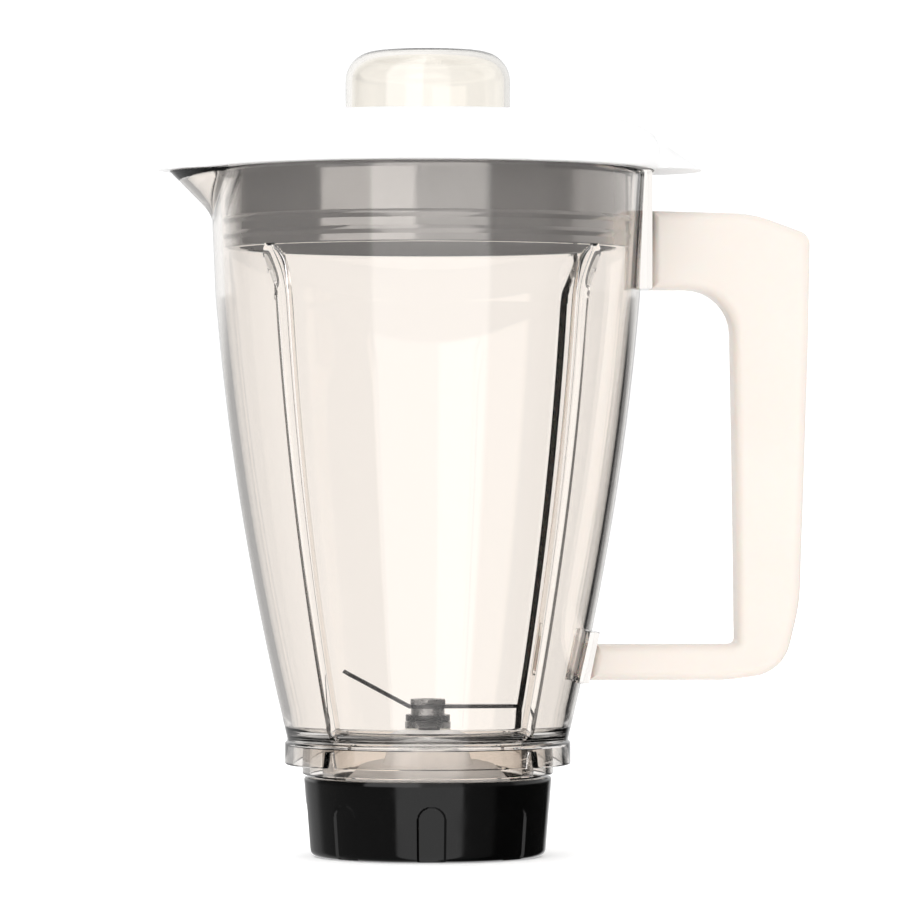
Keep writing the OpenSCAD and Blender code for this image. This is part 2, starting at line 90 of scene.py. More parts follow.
# ---------------------------------------------------------------- light
# Brightness of the studio's panels round the object, as (degrees from the front towards the handle's
# side, brightness). Polished faces mirror two rows of them: the upper row stands above the horizon.
UPPER_PANELS = [
    (-180, 1.0), (-136, 1.0), (-124, 0.12), (-64, 0.12), (-62, 1.7), (-36, 1.7), (-33, 2.2), (-9, 2.2),
    (-8, 1.0), (30, 1.0), (32, 0.2), (84, 0.2), (88, 0.7), (140, 0.8), (180, 1.0),
]
LOWER_PANELS = [
    (-180, 1.0), (-160, 0.45), (-132, 0.45), (-122, 0.2), (-33, 0.2), (-31, 1.25), (31, 1.25), (33, 0.18),
    (62, 0.14), (68, 0.02), (150, 0.02), (164, 1.0), (180, 1.0),
]
# What is seen through clear pieces. Their edges bend the view sideways, where a dark strip draws their
# outlines. A view towards the handle's side looks straight into it, so the jar is darker from there.
EDGE_PANELS = [(-180, 1.07), (84, 1.07), (89, 0.08), (110, 0.05), (118, 0.9), (132, 1.07), (180, 1.07)]
# A ramp's colours end at 1, so the panels are stored divided by this.
PANEL_PEAK = 2.5
# Heights between which the lower row blends into the upper one, as the Z of a direction of length 1.
BLEND_LOW = -0.035
BLEND_HIGH = 0.02
SOFT_LIGHT = 1.15
# The soft light on what stands inside the clear pieces.
INNER_LIGHT = 2.35


def add_world():
    """An even white studio. Polished faces mirror its bright and dim panels, so clear edges read.
    Matt faces are lit by plain white, and the background is plain white."""
    world = bpy.data.worlds.new("studio")
    world.use_nodes = True
    nodes, links = world.node_tree.nodes, world.node_tree.links
    nodes.clear()

    def math(operation, *inputs):
        node = nodes.new("ShaderNodeMath")
        node.operation = operation
        for socket, value in zip(node.inputs, inputs):
            if isinstance(value, (int, float)):
                socket.default_value = value
            else:
                links.new(value, socket)
        return node.outputs[0]

    place = nodes.new("ShaderNodeTexCoord")
    split = nodes.new("ShaderNodeSeparateXYZ")
    links.new(place.outputs["Generated"], split.inputs[0])
    x, y, z = split.outputs
    turn = math("ADD", math("DIVIDE", math("ARCTAN2", x, math("MULTIPLY", y, -1)), 2 * pi), 0.5)

    def panel_row(panels):
        ramp = nodes.new("ShaderNodeValToRGB")
        fill_ramp(ramp, [(0.5 + a / 360, value / PANEL_PEAK) for a, value in panels])
        links.new(turn, ramp.inputs[0])
        return ramp.outputs["Color"]

    def mix_colours(factor, one, two):
        mix = nodes.new("ShaderNodeMix")
        mix.data_type = "RGBA"
        links.new(factor, mix.inputs["Factor"])
        links.new(one, mix.inputs[6])
        links.new(two, mix.inputs[7])
        return mix.outputs[2]

    height = nodes.new("ShaderNodeMapRange")
    height.interpolation_type = "SMOOTHSTEP"
    height.inputs["From Min"].default_value = BLEND_LOW
    height.inputs["From Max"].default_value = BLEND_HIGH
    links.new(z, height.inputs["Value"])
    mirrored = mix_colours(height.outputs[0], panel_row(LOWER_PANELS), panel_row(UPPER_PANELS))
    path = nodes.new("ShaderNodeLightPath")
    # A ray that has passed through clear pieces and met no mirror on its way
    seen_through = math("MULTIPLY", path.outputs["Is Transmission Ray"],
                        math("LESS_THAN", path.outputs["Glossy Depth"], 0.5))
    panels = add(nodes, "ShaderNodeBackground", Strength=PANEL_PEAK)
    links.new(mix_colours(seen_through, mirrored, panel_row(EDGE_PANELS)), panels.inputs["Color"])
    white = add(nodes, "ShaderNodeBackground", Color=(1, 1, 1, 1))
    inside = math("MULTIPLY", path.outputs["Is Transmission Ray"], INNER_LIGHT - SOFT_LIGHT)
    links.new(math("ADD", inside, SOFT_LIGHT), white.inputs["Strength"])
    plain = math("MAXIMUM", path.outputs["Is Camera Ray"],
                 math("GREATER_THAN", path.outputs["Diffuse Depth"], 0.5))
    either = nodes.new("ShaderNodeMixShader")
    out = nodes.new("ShaderNodeOutputWorld")
    links.new(plain, either.inputs[0])
    links.new(panels.outputs[0], either.inputs[1])
    links.new(white.outputs[0], either.inputs[2])
    links.new(either.outputs[0], out.inputs[0])
    scene.world = world


# ---------------------------------------------------------------- material helpers
def add(nodes, kind, **values):
    """A new node, with values for its inputs by name."""
    node = nodes.new(kind)
    for socket, value in values.items():
        node.inputs[socket.replace("_", " ")].default_value = value
    return node


def fill_ramp(node, stops):
    """Sets a colour ramp's stops, given as (place, grey or colour)."""
    ramp = node.color_ramp
    while len(ramp.elements) > 1:
        ramp.elements.remove(ramp.elements[-1])
    for i, (place, colour) in enumerate(stops):
        element = ramp.elements[0] if i == 0 else ramp.elements.new(place)
        element.position = place
        rgb = colour if isinstance(colour, tuple) else (colour,) * 3
        element.color = (*rgb, 1)


def new_material(name, colour, roughness, **values):
    """A principled material, with values for more of its inputs by name. Returns it and its parts."""
    material = bpy.data.materials.new(name)
    material.use_nodes = True
    nodes, links = material.node_tree.nodes, material.node_tree.links
    shader = nodes["Principled BSDF"]
    shader.inputs["Base Color"].default_value = (*colour, 1)
    shader.inputs["Roughness"].default_value = roughness
    for socket, value in values.items():
        shader.inputs[socket.replace("_", " ")].default_value = value
    return material, nodes, links, shader


def bump(nodes, links, shader, height, strength, distance):
    """Lets a texture's value raise and lower the surface by a distance in metres."""
    node = add(nodes, "ShaderNodeBump", Strength=strength, Distance=distance)
    links.new(height, node.inputs["Height"])
    links.new(node.outputs["Normal"], shader.inputs["Normal"])


def vary(nodes, links, shader, socket, source, stops):
    """Drives one of the shader's sockets from a texture through a ramp."""
    ramp = nodes.new("ShaderNodeValToRGB")
    fill_ramp(ramp, stops)
    links.new(source, ramp.inputs[0])
    links.new(ramp.outputs["Color"], shader.inputs[socket])


def object_noise(nodes, links, scale, detail=3, stretch=(1, 1, 1)):
    """Noise laid over the object in its own coordinates, which are metres."""
    place = nodes.new("ShaderNodeTexCoord")
    spread = nodes.new("ShaderNodeMapping")
    spread.inputs["Scale"].default_value = stretch
    noise = add(nodes, "ShaderNodeTexNoise", Scale=scale, Detail=detail)
    links.new(place.outputs["Object"], spread.inputs["Vector"])
    links.new(spread.outputs["Vector"], noise.inputs["Vector"])
    return noise.outputs["Fac"]


# ---------------------------------------------------------------- mesh helpers, in millimetres
MM = 0.001


def finish_mesh(name, bm, material, sharp):
    """Turns a millimetre bmesh into a smooth object in metres, with creases where faces meet sharply."""
    bmesh.ops.recalc_face_normals(bm, faces=bm.faces)
    bmesh.ops.scale(bm, vec=(MM, MM, MM), verts=bm.verts)
    mesh = bpy.data.meshes.new(name)
    bm.to_mesh(mesh)
    bm.free()
    mesh.polygons.foreach_set("use_smooth", [True] * len(mesh.polygons))
    mesh.set_sharp_from_angle(angle=radians(sharp))
    mesh.materials.append(material)
    piece = bpy.data.objects.new(name, mesh)
    scene.collection.objects.link(piece)
    return piece


def revolve(bm, outline, angles, capped=False):
    """Sweeps outline(angle), a loop of (radius, height) points, round the Z axis through angles in
    radians. A capped outline starts and ends on the axis, and its end points become poles."""
    loops = []
    poles = [bm.verts.new((0, 0, p[1])) for p in (outline(0)[0], outline(0)[-1])] if capped else []
    for a in angles:
        points = outline(a)[1:-1] if capped else outline(a)
        loops.append([bm.verts.new((r * cos(a), r * sin(a), z)) for r, z in points])
    for one, two in zip(loops, loops[1:] + loops[:1]):
        last = len(one) - 1 if capped else len(one)
        for i in range(last):
            k = (i + 1) % len(one)
            bm.faces.new((one[i], one[k], two[k], two[i]))
        if capped:
            bm.faces.new((poles[0], one[0], two[0]))
            bm.faces.new((poles[1], two[-1], one[-1]))


def turn_profile(name, outline, count, material, sharp, capped=False):
    """A piece turned from one (radius, height) outline, with count steps round the Z axis."""
    bm = bmesh.new()
    revolve(bm, lambda a: outline, full_turn(count), capped)
    return finish_mesh(name, bm, material, sharp)


def steps(low, high, count):
    """Evenly spaced values from low to high, both included."""
    return [low + (high - low) * i / count for i in range(count + 1)]


def full_turn(count):
    """Angles in radians of an evenly divided turn."""
    return [2 * pi * i / count for i in range(count)]


def fine_turn(coarse, zones):
    """Angles in degrees round a full turn: every coarse degrees, and closer inside each zone, which is
    (centre, reach, step). Returned in radians."""
    marks = {round(i * coarse, 3) for i in range(int(round(360 / coarse)))}
    for centre, reach, step in zones:
        marks = {m for m in marks if abs((m - centre + 180) % 360 - 180) > reach + step / 2}
    for centre, reach, step in zones:
        count = int(round(2 * reach / step))
        marks |= {round((centre - reach + i * step) % 360, 3) for i in range(count + 1)}
    return [radians(m) for m in sorted(marks)]


def arc_points(x, z, r, start, end, count):
    """Points on an arc round (x, z), from one angle in degrees to another."""
    return [(x + r * cos(radians(a)), z + r * sin(radians(a))) for a in steps(start, end, count)]


def from_angle(a, centre):
    """Signed turn in radians from a centre angle given in degrees."""
    return (a - radians(centre) + pi) % (2 * pi) - pi


def smooth_max(a, b, blend):
    """The larger of two lengths, with a soft passage where they differ by less than blend."""
    h = max(blend - abs(a - b), 0) / blend
    return max(a, b) + h * h * blend / 4


def smooth_step(t):
    """Rises from 0 to 1 as t does, level at both ends."""
    t = min(max(t, 0), 1)
    return t * t * (3 - 2 * t)


def round_corners(corners, count=8):
    """A closed outline from (x, z, radius) corners, each rounded with an arc."""
    outline = []
    for i, (x, z, r) in enumerate(corners):
        here = Vector((x, z))
        before = (Vector(corners[i - 1][:2]) - here).normalized()
        after = (Vector(corners[(i + 1) % len(corners)][:2]) - here).normalized()
        half = before.angle(after) / 2
        reach = r / max(abs(sin(half) / cos(half)), 1e-6) if cos(half) > 1e-6 else 0
        if r <= 0 or reach < 1e-6:
            outline.append(here)
            continue
        centre = here + (before + after).normalized() * (r / sin(half))
        start = here + before * reach - centre
        end = here + after * reach - centre
        turn = start.angle_signed(end)
        for k in range(count + 1):
            a = turn * k / count
            outline.append(centre + Vector((start.x * cos(-a) - start.y * sin(-a),
                                            start.x * sin(-a) + start.y * cos(-a))))
    return outline


def inset_outline(outline, depth):
    """The outline moved inwards by depth. It runs counter-clockwise."""
    moved = []
    for i, here in enumerate(outline):
        before = (here - outline[i - 1]).normalized()
        after = (outline[(i + 1) % len(outline)] - here).normalized()
        normal = Vector((-before.y - after.y, before.x + after.x)).normalized()
        stretch = max(normal.dot(Vector((-before.y, before.x))), 0.5)
        moved.append(here + normal * depth / stretch)
    return moved


def rounded_slab(bm, outline, half_width, edge, count):
    """An outline in X and Z, as thick as twice half_width in Y, with its edges rounded in count steps."""
    rows = []
    for side in (-1, 1):
        for a in (steps(0, 90, count) if side < 0 else steps(90, 0, count)):
            depth = edge * (1 - sin(radians(a)))
            y = side * (half_width - edge + edge * cos(radians(a)))
            rows.append([bm.verts.new((p.x, y, p.y)) for p in inset_outline(outline, depth)])
    for one, two in zip(rows, rows[1:]):
        for i in range(len(one)):
            k = (i + 1) % len(one)
            bm.faces.new((one[i], one[k], two[k], two[i]))
    ends = [bm.faces.new(rows[0]), bm.faces.new(rows[-1])]
    for face in ends:
        face.normal_update()
    bmesh.ops.triangulate(bm, faces=ends)


# ---------------------------------------------------------------- materials
def clear_plastic(name, tint, roughness):
    """Polished clear moulding: a faint tint, with the flow marks and fine scuffs of use."""
    material, nodes, links, shader = new_material(
        name, tint, roughness, Transmission_Weight=1.0, IOR=1.5, Specular_IOR_Level=0.5)
    scuffs = object_noise(nodes, links, 260, 6)
    vary(nodes, links, shader, "Roughness", scuffs, [(0.35, roughness), (0.75, roughness + 0.025)])
    flow = object_noise(nodes, links, 9, 2, (1, 1, 0.35))
    bump(nodes, links, shader, flow, 0.05, 0.002)
    return material


def moulded_plastic(name, dark, light, roughness, grain_scale, grain_depth, **values):
    """Opaque moulded plastic: colour that drifts a little, and a fine grain."""
    material, nodes, links, shader = new_material(name, light, roughness, **values)
    drift = object_noise(nodes, links, 22, 4)
    vary(nodes, links, shader, "Base Color", drift, [(0.3, dark), (0.7, light)])
    wear = object_noise(nodes, links, 140, 5)
    vary(nodes, links, shader, "Roughness", wear, [(0.3, roughness - 0.06), (0.7, roughness + 0.08)])
    grain = object_noise(nodes, links, grain_scale, 2)
    bump(nodes, links, shader, grain, 0.25, grain_depth)
    return material


def metal(name, dark, light, roughness, stretch):
    """Ground or sintered metal: fine scratches along one direction, drawn by stretched noise."""
    material, nodes, links, shader = new_material(name, light, roughness, Metallic=1.0)
    scratches = object_noise(nodes, links, 900, 4, stretch)
    vary(nodes, links, shader, "Base Color", scratches, [(0.3, dark), (0.7, light)])
    vary(nodes, links, shader, "Roughness", scratches, [(0.3, roughness - 0.08), (0.7, roughness + 0.12)])
    bump(nodes, links, shader, scratches, 0.4, 0.00004)
    return material


def grey(value):
    return (value, value, value)


MATERIALS = {
    "jar": clear_plastic("clear_jar", (0.975, 0.94, 0.905), 0.008),
    "cap": clear_plastic("clear_cap", (0.98, 0.955, 0.91), 0.02),
    "handle": moulded_plastic(
        "cream_handle", (0.79, 0.73, 0.67), (0.81, 0.75, 0.69), 0.34, 700, 0.00002,
        Coat_Weight=0.1, Subsurface_Weight=0.15, Subsurface_Scale=0.01),
    "lid": moulded_plastic("white_lid", grey(0.88), grey(0.91), 0.38, 1100, 0.00003),
    "gasket": moulded_plastic(
        "grey_silicone", (0.262, 0.265, 0.272), (0.285, 0.288, 0.295), 0.09, 900, 0.0000003,
        Metallic=0.35, Coat_Weight=1.0, Coat_IOR=2.0, Coat_Roughness=0.03),
    "collar": moulded_plastic(
        "black_collar", grey(0.001), grey(0.0016), 0.1, 1600, 0.000002, Specular_IOR_Level=0.4),
    "holder": moulded_plastic("grey_holder", (0.8, 0.81, 0.83), (0.84, 0.85, 0.87), 0.42, 1200, 0.00003),
    "steel": metal("ground_steel", (0.3, 0.3, 0.31), (0.5, 0.5, 0.51), 0.28, (0.08, 1, 1)),
    "blade": metal("blade_steel", (0.05, 0.05, 0.052), (0.1, 0.1, 0.104), 0.24, (0.08, 1, 1)),
    "bronze": metal("sintered_bronze", (0.38, 0.26, 0.13), (0.55, 0.4, 0.22), 0.5, (1, 1, 1)),
    "seal": moulded_plastic("black_rubber", grey(0.01), grey(0.02), 0.6, 800, 0.00005),
    "washer": moulded_plastic("washer_plastic", (0.72, 0.71, 0.66), (0.8, 0.79, 0.74), 0.4, 900, 0.00003),
    "coupling": moulded_plastic("black_coupling", grey(0.012), grey(0.03), 0.5, 1300, 0.00006),
}


def place_piece(piece, body, slot, *nodes):
    """Ties a piece to its moving body, and hides the CAD nodes it replaces. The slot is not used."""
    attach(piece, body)
    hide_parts(*nodes)
    return piece


# ---------------------------------------------------------------- driving sizes, as in the CAD part
RIM_Z = 228
FLOOR_Z = 40
FLOOR_FILLET = 5
FOOT_Z = 38.2
SHOULDER_Z = 186
FOOT_R = 46.6
SHOULDER_R = 70.8
RIM_R = 72.6
WALL_BOW = 3
JAR_WALL = 3
RIB_DEPTH = 3.4
RIB_HALF = radians(2.5)
RIB_FADE_Z = 178
RIB_TOP_Z = 202
RIB_ANGLES = (45, 135, 225, 315)
# Degrees that a rib's top leans by, and the height from which it leans
RIB_LEAN = 4.5
RIB_LEAN_Z = 184
# Heights where a rib starts to widen and where its tip starts to close
LEAF_Z = 188
LEAF_CLOSE_Z = 197
# The spout is an upright cone that stands this far from the jar's axis.
SPOUT_X = 57.5
SPOUT_IN_R = 25.2
SPOUT_OUT_R = 28.8
SPOUT_BLEND = 3
FLANGE_R = 47.6
FLANGE_END_Z = 30.5
NOTCH_TOP_Z = 35.8
NOTCH_HALF = radians(2.25)
NOTCH_SLOPE = radians(1.6)
UNDER_FLOOR_Z = 36.8
NECK_R = 35.2
NECK_BORE_R = 31.6
NECK_END_Z = 13.4
THREAD_LEAD = 24
NECK_LUG_Z = 20
NECK_LUG_HALF = radians(22)
LUG_REACH = 1.7
PAD_HALF = 12
UPPER_PAD_X = 74.2
UPPER_PAD_Z = 188.5
LOWER_PAD_Z = (57.5, 74.5)
LOWER_PAD_X = 53.4
LOWER_PAD_SLOPE = 0.21
HANDLE_FOOT_Z = 58.5
HANDLE_HALF = 11
HANDLE_EDGE = 3.4
LID_R = 79
LID_WALL = 2.4
LID_TOP_Z = 246.2
# The lid's tabs, as (direction in degrees, half-width, distance from the axis)
THUMB_TAB = (0, 22, 91.6)
SPOUT_TAB = (180, 25, 90)
# Each tab's direction, and the degrees from there to its sides
TAB_SIDES = ((0, 16.2), (180, 18.4))
DOME_FLAT_R = 52
DOME_SIDE_Z = 233.5
PLUG_R = 66.4
PLUG_END_Z = 203.2
CAP_R = 27.5
CAP_TOP_Z = 267.8
CAP_FOOT_Z = 233
# Radius of the small rounding along moulded edges
EDGE = 0.3


# ---------------------------------------------------------------- jar
def wall_r(z):
    """The outer wall's radius: a bowed cone up to the shoulder, then nearly straight."""
    if z > SHOULDER_Z:
        return SHOULDER_R + (RIM_R - SHOULDER_R) * (z - SHOULDER_Z) / (RIM_Z - SHOULDER_Z)
    t = (z - FOOT_Z) / (SHOULDER_Z - FOOT_Z)
    return FOOT_R + (SHOULDER_R - FOOT_R) * t + 4 * WALL_BOW * t * (1 - t)


def spout_r(a, z, mouth_r):
    """How far the spout's upright cone reaches from the jar's axis, or 0 where it doesn't."""
    cone_r = z - (RIM_Z - mouth_r)
    off = from_angle(a, 180)
    across = SPOUT_X * sin(off)
    if cone_r <= abs(across) or cos(off) <= 0:
        return 0
    return SPOUT_X * cos(off) + sqrt(cone_r ** 2 - across ** 2)


def rib_shape(centre, z):
    """Middle angle in degrees and half-width in radians of a flow rib at height z. Its top leans
    towards the X axis, widens like a leaf and closes."""
    lean = RIB_LEAN * max(0, (z - RIB_LEAN_Z) / (RIB_TOP_Z - RIB_LEAN_Z)) ** 2
    to_axis = -1 if centre % 180 < 90 else 1
    half = RIB_HALF * (1 + 0.45 * smooth_step((z - LEAF_Z) / (LEAF_CLOSE_Z - LEAF_Z)))
    if z > LEAF_CLOSE_Z:
        half *= sqrt(max(0, 1 - ((z - LEAF_CLOSE_Z) / (RIB_TOP_Z - LEAF_CLOSE_Z)) ** 2))
    return centre + to_axis * lean, half


def inner_r(a, z):
    """The inner wall's radius, with the spout's channel and the four ribs, which are full, round bumps."""
    r = smooth_max(wall_r(z) - JAR_WALL, spout_r(a, z, SPOUT_IN_R), SPOUT_BLEND)
    for centre in RIB_ANGLES:
        if z >= RIB_TOP_Z or abs(from_angle(a, centre)) > radians(10):
            continue
        middle, half = rib_shape(centre, z)
        across = abs(from_angle(a, middle)) / max(half, 1e-6)
        if across < 1:
            fade = max(0, z - RIB_FADE_Z) / (RIB_TOP_Z - RIB_FADE_Z)
            r -= RIB_DEPTH * sqrt(1 - 0.75 * fade ** 2) * (1 - across ** 2.5) ** 0.45
    return r


def outer_r(a, z):
    """The outer wall's radius, with the spout and the two pads that the handle is bonded to."""
    r = smooth_max(wall_r(z), spout_r(a, z, SPOUT_OUT_R), SPOUT_BLEND)
    off = from_angle(a, 0)
    if abs(off) > radians(30):
        return r
    if z > UPPER_PAD_Z and abs(UPPER_PAD_X * sin(off) / cos(off)) < PAD_HALF:
        r = max(r, UPPER_PAD_X / cos(off))
    lower_x = LOWER_PAD_X + LOWER_PAD_SLOPE * (z - HANDLE_FOOT_Z)
    if LOWER_PAD_Z[0] < z < LOWER_PAD_Z[1] and abs(lower_x * sin(off) / cos(off)) < PAD_HALF:
        r = max(r, lower_x / cos(off))
    return r


def skirt_end_z(a):
    """Height of the flange's lower edge, which rises into a notch at each of the four corners."""
    notch_off = min(abs(from_angle(a, centre)) for centre in RIB_ANGLES)
    share = smooth_step(0.5 + (NOTCH_HALF - notch_off) / NOTCH_SLOPE)
    return FLANGE_END_Z + (NOTCH_TOP_Z - FLANGE_END_Z) * share


def flange_outline(a):
    """The flange's skirt and the shorter ring inside it, from the wall's foot to the neck."""
    foot_z = skirt_end_z(a)
    skirt_in = FLANGE_R - 2.6
    ring_out, ring_in, ring_end_z = 41.8, 39.4, 27.2
    return [
        (FOOT_R + 0.25, FOOT_Z + 0.25), (FLANGE_R - 0.5, FOOT_Z), (FLANGE_R - 0.1, FOOT_Z - EDGE),
        (FLANGE_R, FOOT_Z - 0.8), (FLANGE_R, foot_z + EDGE), (FLANGE_R - EDGE, foot_z),
        (skirt_in + EDGE, foot_z), (skirt_in, foot_z + EDGE),
        (skirt_in, UNDER_FLOOR_Z - EDGE), (skirt_in - EDGE, UNDER_FLOOR_Z),
        (ring_out + EDGE, UNDER_FLOOR_Z), (ring_out, UNDER_FLOOR_Z - EDGE),
        (ring_out, ring_end_z + EDGE), (ring_out - EDGE, ring_end_z),
        (ring_in + EDGE, ring_end_z), (ring_in, ring_end_z + EDGE),
        (ring_in, UNDER_FLOOR_Z - EDGE), (ring_in - EDGE, UNDER_FLOOR_Z),
        (NECK_R + 0.5, UNDER_FLOOR_Z), (NECK_R, UNDER_FLOOR_Z - 0.5),
    ]


def neck_outline(a):
    """The neck with its four thread lugs, which climb with the thread, then its end and its bore."""
    off = (a + pi / 4) % (pi / 2) - pi / 4
    lug_z = NECK_LUG_Z + THREAD_LEAD * off / (2 * pi)
    lug_r = NECK_R + LUG_REACH * (1 if abs(off) < NECK_LUG_HALF else 0.01)
    return [
        (NECK_R, lug_z + 1.25), (lug_r, lug_z + 0.8), (lug_r, lug_z - 0.8), (NECK_R, lug_z - 1.25),
        (NECK_R, NECK_END_Z + 0.4), (NECK_R - 0.4, NECK_END_Z), (NECK_BORE_R + 0.4, NECK_END_Z),
        (NECK_BORE_R, NECK_END_Z + 0.4), (NECK_BORE_R, FLOOR_Z - 1), (NECK_BORE_R + 1, FLOOR_Z),
    ]


def jar_outline(a):
    """One closed half-section of the jar, from the floor's inner edge up, over the rim and down."""
    low = FLOOR_Z + FLOOR_FILLET
    levels = steps(low, 182, 28) + steps(182, 203, 26)[1:] + steps(203, RIM_Z - 1, 22)[1:]
    pad_edges = [z + side * 0.06 for z in (*LOWER_PAD_Z, UPPER_PAD_Z) for side in (-1, 1)]
    inside = arc_points(inner_r(a, low) - FLOOR_FILLET, low, FLOOR_FILLET, 270, 350, 8)
    inside += [(inner_r(a, z), z) for z in levels]
    rim_in, rim_out = inner_r(a, RIM_Z), outer_r(a, RIM_Z)
    rim = [
        (rim_in + EDGE, RIM_Z - EDGE), (rim_in + 1, RIM_Z),
        (rim_out - 1, RIM_Z), (rim_out - EDGE, RIM_Z - EDGE),
    ]
    down = sorted(levels + [41, 43, FOOT_Z + 0.9] + pad_edges, reverse=True)
    outside = [(outer_r(a, z), z) for z in down]
    return inside + rim + outside + flange_outline(a) + neck_outline(a)


def make_jar():
    """The clear jar, with finer steps at the ribs, the spout and the pads' sides."""
    zones = [(c, 8.4, 0.28) for c in RIB_ANGLES] + [(180, 31, 0.8)]
    zones += [(side * c, 1.0, 0.2) for side in (1, -1) for c in (9.2, 12.6)]
    bm = bmesh.new()
    revolve(bm, jar_outline, fine_turn(1.5, zones))
    piece = finish_mesh("jar_clear_body", bm, MATERIALS["jar"], 40)
    place_piece(piece, "jar", "jar", "jar")


def make_handle():
    """The cream handle as (x, z, corner radius) points: the grip opening's edge, then the outer edge."""
    upper_x = UPPER_PAD_X + 0.04
    lower_x = LOWER_PAD_X + 0.04
    inner_z = 70.2
    opening = [(upper_x, UPPER_PAD_Z, 0), (101, UPPER_PAD_Z, 15), (102, 135, 200), (102.8, inner_z, 2),
               (55.9, inner_z, 0)]
    outer = [(lower_x, HANDLE_FOOT_Z, 0), (99, HANDLE_FOOT_Z, 40), (118, 61, 14), (123.5, 84, 60),
             (126.3, 170, 300), (127, 206.6, 4.5), (108, 213.6, 40), (upper_x, 214.5, 0)]
    bm = bmesh.new()
    rounded_slab(bm, round_corners(opening + outer), HANDLE_HALF, HANDLE_EDGE, 6)
    piece = finish_mesh("handle_grip", bm, MATERIALS["handle"], 30)
    place_piece(piece, "jar", "handle", "handle")


# ---------------------------------------------------------------- lid, gasket and cap
def dome(inset):
    """The dome's quarter ellipse, moved inwards by inset, from its side up to its flat top."""
    across = LID_R - DOME_FLAT_R - inset
    rise = LID_TOP_Z - DOME_SIDE_Z - inset
    return [(DOME_FLAT_R + across * cos(radians(t)), DOME_SIDE_Z + rise * sin(radians(t)))
            for t in steps(0, 90, 20)]


def tab_reach(a, centre, half_width, reach):
    """Distance from the axis to a tab's rounded end, or None where there is no tab."""
    off = from_angle(a, centre)
    if abs(off) > radians(40) or abs(sin(off)) * LID_R > half_width:
        return None
    end_r = 1.2 * half_width
    middle = reach - end_r
    return middle * cos(off) + sqrt(end_r ** 2 - (middle * sin(off)) ** 2)


def chimney_outline():
    """From the lid's top into the cap's seat, under it and out again under the dome."""
    bore_r, seat_r, seat_z = CAP_R + 0.4, 24.5, CAP_FOOT_Z - 1.8
    return [
        (bore_r + 0.8, LID_TOP_Z), (bore_r + 0.2, LID_TOP_Z - 0.2), (bore_r, LID_TOP_Z - 0.8),
        (bore_r, CAP_FOOT_Z), (seat_r + EDGE, CAP_FOOT_Z), (seat_r, CAP_FOOT_Z - EDGE), (seat_r, seat_z),
        (bore_r + 2.2, seat_z), (bore_r + 2.2, LID_TOP_Z - 3.2), (bore_r + 3, LID_TOP_Z - 2.4),
    ]


def plug_outline():
    """The ring under the dome that carries the gasket."""
    inner = PLUG_R - 2.2
    return [
        (inner, 241.7), (inner, PLUG_END_Z + 0.4), (inner + 0.4, PLUG_END_Z),
        (PLUG_R - 0.4, PLUG_END_Z), (PLUG_R, PLUG_END_Z + 0.4), (PLUG_R, 241.2),
    ]


def lid_outline(a):
    """One closed half-section of the lid, with the thumb tab or the spout's cover where they stand."""
    under = dome(LID_WALL)[::-1]
    plug_in = [p for p in under if p[0] < PLUG_R - 2.8]
    plug_out = [p for p in under if p[0] > PLUG_R + 0.6]
    thumb = tab_reach(a, *THUMB_TAB)
    spout = tab_reach(a, *SPOUT_TAB)
    if thumb:
        skin_limit = 76
        edge = [
            (thumb - 0.5, RIM_Z), (thumb, RIM_Z + 0.3), (thumb - 0.6, RIM_Z + 0.9),
            (LID_R + 0.8, RIM_Z + 8.2), (LID_R - 2, RIM_Z + 10.4),
        ]
    elif spout:
        skin_limit = LID_R - 0.1
        edge = [
            (spout - 0.6, RIM_Z), (spout, RIM_Z + 0.6), (spout - 0.6, RIM_Z + 1.4),
            (LID_R + 1.2, RIM_Z + 2.2), (LID_R - 0.1, RIM_Z + 3.6),
        ]
    else:
        skin_limit = LID_R - 0.01
        edge = [
            (LID_R - 1.4, RIM_Z), (LID_R - 0.7, RIM_Z + 0.4), (LID_R - 0.25, RIM_Z + 1.2),
            (LID_R, RIM_Z + 2.5), (LID_R, RIM_Z + 4),
        ]
    skin = [p for p in dome(0) if p[0] < skin_limit]
    inner_foot = [(LID_R - LID_WALL - 1.2, RIM_Z)]
    return chimney_outline() + plug_in + plug_outline() + plug_out + inner_foot + edge + skin


def lid_columns(a):
    """The lid's outline with the same number of points at every angle."""
    points = lid_outline(a)
    last_r, last_z = points[-1]
    spare = LID_COLUMN_COUNT - len(points)
    return points + [(last_r - 0.02 * (i + 1), last_z) for i in range(spare)]


LID_COLUMN_COUNT = max(len(lid_outline(radians(a))) for a in (0, 90, 180))


def make_lid():
    """The white lid, with finer steps at the sides of its two tabs."""
    zones = [(centre + side * off, 0.9, 0.15) for centre, off in TAB_SIDES for side in (1, -1)]
    bm = bmesh.new()
    revolve(bm, lid_columns, fine_turn(1.5, zones))
    piece = finish_mesh("lid_white_dome", bm, MATERIALS["lid"], 32)
    place_piece(piece, "lid", "lid", "lid")


